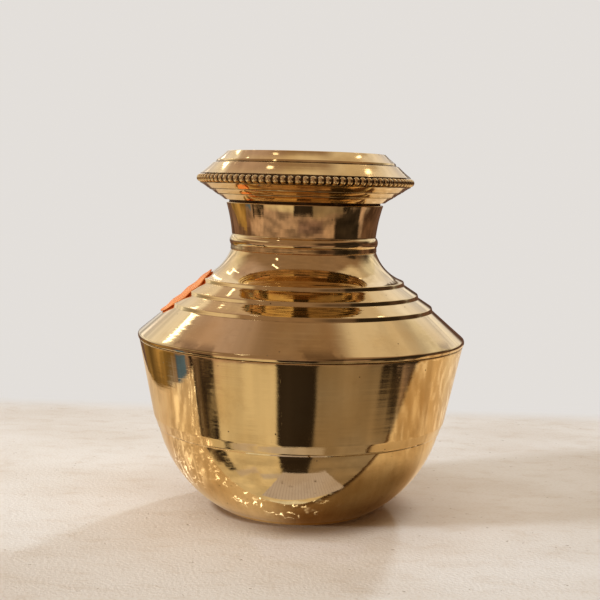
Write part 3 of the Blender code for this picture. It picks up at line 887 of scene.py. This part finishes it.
def table_colour(n, at):
    # The warm light that brass throws, painted as a tint that changes with place.
    warm_light = n.mix(n.smooth(at.reach, 0.09, 0.17), NEAR_WARM_LIGHT, FAR_WARM_LIGHT)
    warm_light = n.mix(n.smooth(at.x, -0.05, -0.08), warm_light, LEFT_WARM_LIGHT)
    warm_light = n.mix(n.smooth(at.y, 0.04, 0.12), warm_light, BACK_WARM_LIGHT)
    colour = n.mix(1.0, stone_colour(n, at.place)[0], warm_light, "MULTIPLY")
    # A painted shaded band along the right part of the front edge.
    colour = n.mix(n.times(n.smooth(at.widths, 1.2, 0.3), at.right), colour, EDGE_SHADE)
    # The pot's shadow beside the foot, painted dark.
    foot_shadow = n.times(n.smooth(at.reach, 0.095, 0.055), n.smooth(at.x, -0.005, 0.030),
                        n.smooth(at.y, 0.005, -0.025))
    shade = n.times(n.between(at.streak, 0.80, 1.20), n.between(foot_shadow, 1.0, FOOT_SHADE))
    return n.mix(1.0, colour, shade, "MULTIPLY")


print(f"mirrored table ends {-FRONT_LINE * 1000:.0f} mm in front of the axis")

# %% [markdown]
# ## Light on the mirrored table
# In the photograph the belly's sides are full of small lights: glare that lies on the table to the left,
# creased like water near the pot and drawn into soft streaks further out, with a few glints at the front edge
# and on the right. Real caustics could make them, but they need many samples and stay noisy. Here creases are
# the middle line of a noise, and streaks are a noise that is stretched outwards from the pot.

# %% Light on the mirrored table
GLARE_LINE, GLARE_WIDTH = -0.006, 0.042
GLARE_WHITE, GLARE_STRENGTH = (1.0, 0.96, 0.90), 3.6
CREASE_WIDTH = 0.004
BOUNCE = 0.30


def table_glow(n, at):
    """Strength of the light that lies on the table."""
    sparkle, sheen = n.noise(at.place, 170.0, 3.0), n.noise(at.place, 95.0, 5.0)
    crease = n.smooth(n.math("ABSOLUTE", n.minus(sheen, 0.5)), 4.0 * CREASE_WIDTH, CREASE_WIDTH)
    patch = n.times(n.smooth(sparkle, 0.52, 0.64), n.smooth(sheen, 0.52, 0.66), 0.35)
    broken = n.most(n.times(crease, n.smooth(sparkle, 0.48, 0.58)), patch)

    away = n.math("ABSOLUTE", n.minus(at.y, GLARE_LINE))
    glare = n.times(n.smooth(away, GLARE_WIDTH, 0.3 * GLARE_WIDTH), n.smooth(at.x, -0.045, -0.060))
    creases = n.times(glare, broken, n.between(n.smooth(at.reach, 0.075, 0.115), 0.75, 0.30))
    outward = n.vector(n.times(at.turn, 10.0), n.times(at.reach, 30.0))
    soft = n.smooth(n.noise(outward, 1.0, 4.0, Distortion=0.8), 0.46, 0.68)
    streaks = n.times(n.most(glare, n.times(n.smooth(at.x, 0.07, 0.13), 0.45)), soft, 0.19)
    rim = n.times(n.smooth(at.widths, 4.0, 1.5), n.minus(1.0, at.right), broken)
    glint = n.times(n.smooth(at.x, 0.10, 0.17), n.smooth(at.streak, 0.56, 0.64), broken, 0.6)
    return n.times(n.most(creases, streaks, rim, glint), GLARE_STRENGTH)


def mirrored_stone():
    made, n = new_material("mirrored_table")
    at = table_fields(n)
    colour = table_colour(n, at)
    behind = n.times(n.smooth(at.y, 0.0, 0.03), 1.6)
    open_table = n.most(n.smooth(at.reach, 0.060, 0.100), n.smooth(at.x, 0.005, -0.02), behind)
    whole = n.make("BsdfDiffuse", Color=colour)
    # The second glow is painted bounce light on the open parts of the table, away from the foot.
    for light in (n.glow(GLARE_WHITE, table_glow(n, at)), n.glow(colour, n.times(open_table, BOUNCE))):
        whole = n.add("AddShader", {0: whole, 1: light}).outputs[0]
    n.surface(whole)
    return made


MIRRORED_STONE = mirrored_stone()
print("light on the mirrored table:", MIRRORED_STONE.name)

# %% [markdown]
# ## Sheets for the mirror
# The mirrored table is a flat sheet just under the floor, and a sheet of ruled paper lies in front of it, as
# the low part of the belly shows. Both are seen by mirror rays alone, and the plain floor is hidden from
# those rays in turn. Two scenes could be rendered and joined, but ray visibility does it in one.

# %% Mirrored table and paper
LEFT_EDGE, RIGHT_EDGE, BACK_EDGE = -0.182, 0.30, 0.45
EDGE_STEPS, EDGE_CROWDING = 60, 1.6
TABLE_Z, PAPER_Z = -0.00002, 0.00005
PAPER_WHITE, PAPER_LINE = (0.51, 0.45, 0.52), (0.16, 0.12, 0.11)
PAPER_CORNERS = [(-0.011, -0.077), (0.022, -0.077), (0.029, -0.055), (-0.019, -0.0505)]


def front_of_table(x):
    """How far forward the mirrored table reaches: bowed to the left, with a rounded corner to the right."""
    return FRONT_LINE - (FRONT_BOW * x * x if x < 0.0 else CORNER_REACH * math.sin(x * math.pi / CORNER_SPAN))


def mirrored_paper():
    """Pale paper with faint ruled lines and a few stains."""
    made, n = new_material("mirrored_paper")
    place = n.place()
    wave = n.add("TexWave", {"Vector": place, "Scale": 180.0, "Distortion": 0.6}, bands_direction="X")
    ruled = wave.outputs["Fac"]
    colour = n.mix(n.times(n.smooth(ruled, 0.75, 1.0), 0.25), PAPER_WHITE, PAPER_LINE)
    colour = n.mix(n.smooth(n.noise(place, 130.0, 4.0), 0.64, 0.70), colour, PAPER_LINE)
    # The paper glows with a fixed light of its own instead of being lit: its brightness is painted light.
    n.surface(n.glow(colour))
    return made


table_width = RIGHT_EDGE - LEFT_EDGE
edge_shares = [(step / EDGE_STEPS) ** EDGE_CROWDING for step in range(EDGE_STEPS + 1)]
edge_places = [LEFT_EDGE + table_width * share for share in edge_shares]
front_edge = [(x, front_of_table(x)) for x in edge_places]
table_corners = [*front_edge, (RIGHT_EDGE, BACK_EDGE), (LEFT_EDGE, BACK_EDGE)]
for sheet in (flat_sheet("mirror_table", table_corners, TABLE_Z, MIRRORED_STONE),
              flat_sheet("mirror_paper", PAPER_CORNERS, PAPER_Z, mirrored_paper())):
    sheet.visible_camera = False
    sheet.visible_diffuse = False
    sheet.visible_shadow = False
floor.visible_glossy = False
print(f"mirrored table {table_width * 1000:.0f} mm wide")

# %% [markdown]
# ## Studio cards
# Polished metal is only as good as what it mirrors. A room of soft cards surrounds the pot: a warm brown
# ceiling, darker walls in front, pale walls behind, plain dark flags that draw the crisp bands which make
# metal look like metal, and small bright lights that make its highlights. Cards could be planes, but planes
# would stand in the camera's way in other views, so they are painted on the world by direction.
# Azimuth 0 is towards the camera and 90 to the right. A last number above 0 breaks a card into rags.

# %% Studio cards
BLACK, DIM = (0.030, 0.021, 0.016), (0.060, 0.036, 0.026)
LAMP_WHITE = (4.5, 4.2, 3.9)
# name: azimuth, elevation, half width, half height, softness (degrees), colour, how broken
CARDS = {
    "left ceiling": (-125, 52, 34, 17, 12, (0.50, 0.375, 0.37)),
    "left pale wall": (-150, 24, 22, 13, 2.5, (0.90, 0.85, 0.84)),
    "right ceiling": (118, 58, 28, 15, 6, (0.68, 0.58, 0.50)),
    "right pale wall": (157, 32, 17, 15.5, 2.5, (0.88, 0.86, 0.92)),
    "back ceiling": (180, 62, 34, 20, 8, (0.72, 0.60, 0.48)),
    "right dim wall": (72, 8, 54, 18, 9, DIM),
    "left shade": (-132, -10, 40, 8, 3, (0.175, 0.102, 0.075)),
    "middle shade": (10, -21, 19, 5, 3, (0.19, 0.12, 0.11)),
    "far right shade": (140, -6, 38, 14, 3, (0.12, 0.066, 0.046)),
    "right back post": (166, 14, 1.6, 12, 0.8, (0.10, 0.07, 0.05)),
    "right flag": (72, 2, 23, 28, 2.5, BLACK),
    "right low wall": (46.5, -46, 34.5, 19, 1.5, (0.28, 0.21, 0.155)),
    "centre flag": (-2.5, -43, 15.5, 15, 0.8, BLACK),
    "right small flag": (71, -26, 9, 3.6, 0.7, BLACK, 0.6),
    "left folds": (-78, -33, 6.5, 12, 1, (0.12, 0.08, 0.055), 0.6),
    "left flag": (-72.5, -37, 5.5, 14, 1, BLACK, 0.85),
    "left strip": (-85.5, -28, 1.8, 9, 0.6, BLACK),
    "cool strip": (-96.5, -25, 5.5, 3.2, 0.6, (0.14, 0.24, 0.43)),
    "brown card": (-126, -17, 24, 5.5, 0.8, (0.34, 0.205, 0.07)),
    "pale strip": (-8, -60.5, 38, 2.6, 0.6, (0.54, 0.47, 0.47)),
    "left pale strip": (-58, -54, 14, 2.6, 0.6, (0.62, 0.52, 0.48)),
}
LIGHT_CARDS = {
    "left light strip": (-90, 18, 32, 5, 4, (0.80, 0.69, 0.60)),
    "left window low": (-148, 31.5, 1, 3, 0.5, LAMP_WHITE),
    "left window": (-137, 36.5, 0.9, 5, 0.5, LAMP_WHITE),
    "left window middle": (-142.5, 34, 4.5, 0.6, 0.4, LAMP_WHITE),
    "left tube": (-149, 45.5, 2.2, 0.6, 0.4, LAMP_WHITE),
    "far left tube": (-163, 22, 0.8, 5, 0.5, LAMP_WHITE),
    "front left tube": (-63, 59, 1.4, 5, 0.6, LAMP_WHITE),
    "right lamp": (138, 50, 2.2, 1.6, 0.6, LAMP_WHITE),
    "front lamp": (-48, 43, 1.2, 2.2, 0.6, LAMP_WHITE),
    "high lamp": (-130, 67, 2.2, 1.4, 0.7, LAMP_WHITE),
}
print(f"{len(CARDS)} cards and {len(LIGHT_CARDS)} light cards")

# %% [markdown]
# ## Laying a card
# Each card does the same to the room so far: inside its width and height its own colour takes over, with
# a soft edge. Writing those nodes for every card would be long, so they are one group with inputs. Towards
# the zenith the circles of azimuth close up, so the soft edge there is widened to keep its true size.

# %% Card group
CARD_KEYS = ("Centre", "Height", "Half Width", "Half Height", "Soft", "Colour", "Broken")
HOLE_FROM, HOLE_TO = 0.47, 0.38
LEAST_LEVEL = 0.1


def card_group():
    """A node group that lays one soft-edged card over the picture of the room so far."""
    tree = bpy.data.node_groups.new("Card", "ShaderNodeTree")
    for name in ("Azimuth", "Elevation", "Blobs", "Room", *CARD_KEYS):
        kind = "NodeSocketColor" if name in ("Room", "Colour") else "NodeSocketFloat"
        tree.interface.new_socket(name, in_out="INPUT", socket_type=kind)
    tree.interface.new_socket("Room", in_out="OUTPUT", socket_type="NodeSocketColor")
    n = Nodes(tree)
    given = n.add("NodeGroupInput").outputs
    aside = n.minus(given["Azimuth"], given["Centre"])
    wrapped = n.add("Math", {0: aside, 1: 180.0, 2: -180.0}, operation="WRAP").outputs[0]
    above = n.minus(given["Elevation"], given["Height"])
    level = n.most(n.math("COSINE", n.math("RADIANS", given["Elevation"])), LEAST_LEVEL)
    turn_soft = n.math("DIVIDE", given["Soft"], level)
    holes = n.smooth(given["Blobs"], HOLE_FROM, HOLE_TO)
    cover = n.minus(1.0, n.times(given["Broken"], holes))
    for away, half, soft in ((wrapped, given["Half Width"], turn_soft),
                             (above, given["Half Height"], given["Soft"])):
        inside = n.smooth(n.math("ABSOLUTE", away), n.plus(half, soft), n.minus(half, soft))
        cover = n.times(cover, inside)
    n.add("NodeGroupOutput", {"Room": n.mix(cover, given["Room"], given["Colour"])})
    return tree


CARD = card_group()


def lay_cards(n, cards, place, room):
    """The room with the cards laid over it, one after another."""
    for name, card in cards.items():
        inputs = {**dict(zip(CARD_KEYS, card)), **place, "Room": room}
        room = n.add("Group", inputs, node_tree=CARD, label=name).outputs["Room"]
    return room


print("card inputs:", ", ".join(CARD_KEYS))

# %% [markdown]
# ## Room
# Under the cards lies a brown room with a pale wall behind. It could be plain, but real rooms are full of
# things, so noise bends the cards' edges, and folds and mottles break up everything below the ceiling.
# The world answers each kind of ray: mirror rays see the room, the camera a plain wall, and the floor and
# paper one soft light. Light that comes to the table by way of the brass is evened out.

# %% World
CEILING, FRONT_WALL, FRONT_GROUND = (0.28, 0.185, 0.135), (0.40, 0.27, 0.22), (0.67, 0.55, 0.40)
AMBIENT, THROWN_LIGHT = (0.46, 0.36, 0.26), (0.92, 0.81, 0.70)
WANDER, FRAY, JAG = 3.0, 1.6, 2.4
RISE_SHARE = 0.7
JAG_ACROSS, JAG_DOWN = 0.03, 0.6
FOLD_ACROSS, FOLD_DOWN = 0.035, 0.16
BLOB_ACROSS, BLOB_DOWN = 0.15, 0.75


def bare_room(n, azimuth, elevation):
    room = n.mix(n.smooth(elevation, -31.0, -27.0), FRONT_GROUND, FRONT_WALL)
    room = n.mix(n.smooth(elevation, -12.0, -4.0), room, CEILING)
    room = n.mix(n.smooth(n.math("ABSOLUTE", azimuth), 98.0, 128.0), room, WALL)
    return n.mix(n.smooth(elevation, 30.0, 52.0), room, CEILING)


def cluttered(n, direction, azimuth, elevation, room):
    """The room with folds and mottles, which fade out on the ground and towards the ceiling."""
    across = n.vector(n.times(azimuth, FOLD_ACROSS), n.times(elevation, FOLD_DOWN))
    folds = n.smooth(n.noise(across, 1.0, 3.0, Roughness=0.55), 0.30, 0.70)
    mottle = n.noise(direction, 11.0, 5.0)
    clutter = n.times(n.between(folds, 0.45, 1.50), n.between(mottle, 0.50, 1.50))
    share = n.plus(n.between(n.smooth(elevation, -31.0, -26.0), 0.30, 1.0),
                   n.between(n.smooth(elevation, 5.0, 30.0), 0.0, -0.85))
    return n.mix(share, room, n.mix(1.0, room, clutter, "MULTIPLY"))


def studio():
    world = bpy.data.worlds.new("studio")
    scene.world = world
    world.use_nodes = True
    world.node_tree.nodes.clear()
    n = Nodes(world.node_tree)
    direction = n.add("TexCoord").outputs["Generated"]
    x, y, z = n.split(direction)
    true_azimuth = n.math("DEGREES", n.math("ARCTAN2", x, n.times(y, -1.0)))
    true_elevation = n.math("DEGREES", n.math("ARCSINE", z))
    stray = n.plus(n.swing(direction, 6.0, 4.0, WANDER), n.swing(direction, 38.0, 4.0, FRAY))
    scratchy = n.vector(n.times(true_azimuth, JAG_ACROSS), n.times(true_elevation, JAG_DOWN))
    azimuth = n.plus(true_azimuth, stray, n.swing(scratchy, 1.0, 4.0, JAG))
    elevation = n.plus(true_elevation, n.times(stray, RISE_SHARE))
    spotted = n.vector(n.times(true_azimuth, BLOB_ACROSS), n.times(true_elevation, BLOB_DOWN))
    place = {"Azimuth": azimuth, "Elevation": elevation, "Blobs": n.noise(spotted, 1.0, 3.0)}
    room = lay_cards(n, CARDS, place, bare_room(n, azimuth, elevation))
    room = cluttered(n, direction, azimuth, elevation, room)
    room = lay_cards(n, LIGHT_CARDS, {"Azimuth": true_azimuth, "Elevation": true_elevation}, room)
    path = n.add("LightPath").outputs
    shown = n.mix(n.math("GREATER_THAN", path["Diffuse Depth"], 0.5), room, THROWN_LIGHT)
    shown = n.mix(path["Is Diffuse Ray"], shown, AMBIENT)
    shown = n.mix(path["Is Camera Ray"], shown, WALL)
    n.add("OutputWorld", {"Surface": n.make("Background", Color=shown, Strength=1.0)})
    print(f"studio of {len(n.tree.nodes)} nodes")


studio()

# %% [markdown]
# ## Lamps
# Soft lamps give the shadows: a low key from the left, a weaker one from the right behind, and a broad fill
# from above. They stand far off, as sun lamps with a wide disc do, so that the table is lit alike on every
# side. One small lamp near the pot stands for the light that the brass throws on the table.
# Each is set by its direction and by the share of a white floor's brightness that it gives, so their sum
# stays plain. They are left out of mirror rays, because the cards already draw what the metal shows.

# %% Lamps
# name: azimuth, elevation, spread (degrees), share of the floor's light, colour
FAR_LAMPS = {
    "key": (-72, 10, 6.9, 0.20, (0.86, 1, 1.16)),
    "right back": (158, 31, 4.2, 0.15, (0.84, 1, 1.14)),
    "fill": (-20, 75, 43, 0.145, (1, 0.84, 0.69)),
}
THROWN_WAY, THROWN_DISTANCE, THROWN_SIZE = (-112.0, 48.0), 0.24, 0.12
THROWN_SHARE, THROWN_COLOUR = 0.065, (1.0, 0.88, 0.74)


def hang_lamp(name, kind, azimuth, elevation, distance, colour):
    """A lamp that looks at the pot's foot from a direction, and the sine of its elevation."""
    a, e = math.radians(azimuth), math.radians(elevation)
    way = Vector((math.sin(a) * math.cos(e), -math.cos(a) * math.cos(e), math.sin(e)))
    lamp = placed(name, bpy.data.lights.new(name, kind))
    lamp.location = way * distance
    lamp.rotation_euler = (-way).to_track_quat("-Z", "Y").to_euler()
    lamp.visible_glossy = False
    lamp.data.color = colour
    return lamp.data, way.z


for name, (azimuth, elevation, spread, share, colour) in FAR_LAMPS.items():
    lamp, slant = hang_lamp(name, "SUN", azimuth, elevation, 1.0, colour)
    lamp.angle = math.radians(spread)
    lamp.energy = share * math.pi / slant
    print(f"lamp {name}: {lamp.energy:.2f} W per square metre")

thrown_lamp, slant = hang_lamp("thrown light", "AREA", *THROWN_WAY, THROWN_DISTANCE, THROWN_COLOUR)
thrown_lamp.shape = "DISK"
thrown_lamp.size = THROWN_SIZE
thrown_lamp.energy = THROWN_SHARE * math.pi ** 2 * THROWN_DISTANCE ** 2 / slant
print(f"lamp near the pot: {thrown_lamp.energy:.3f} W")
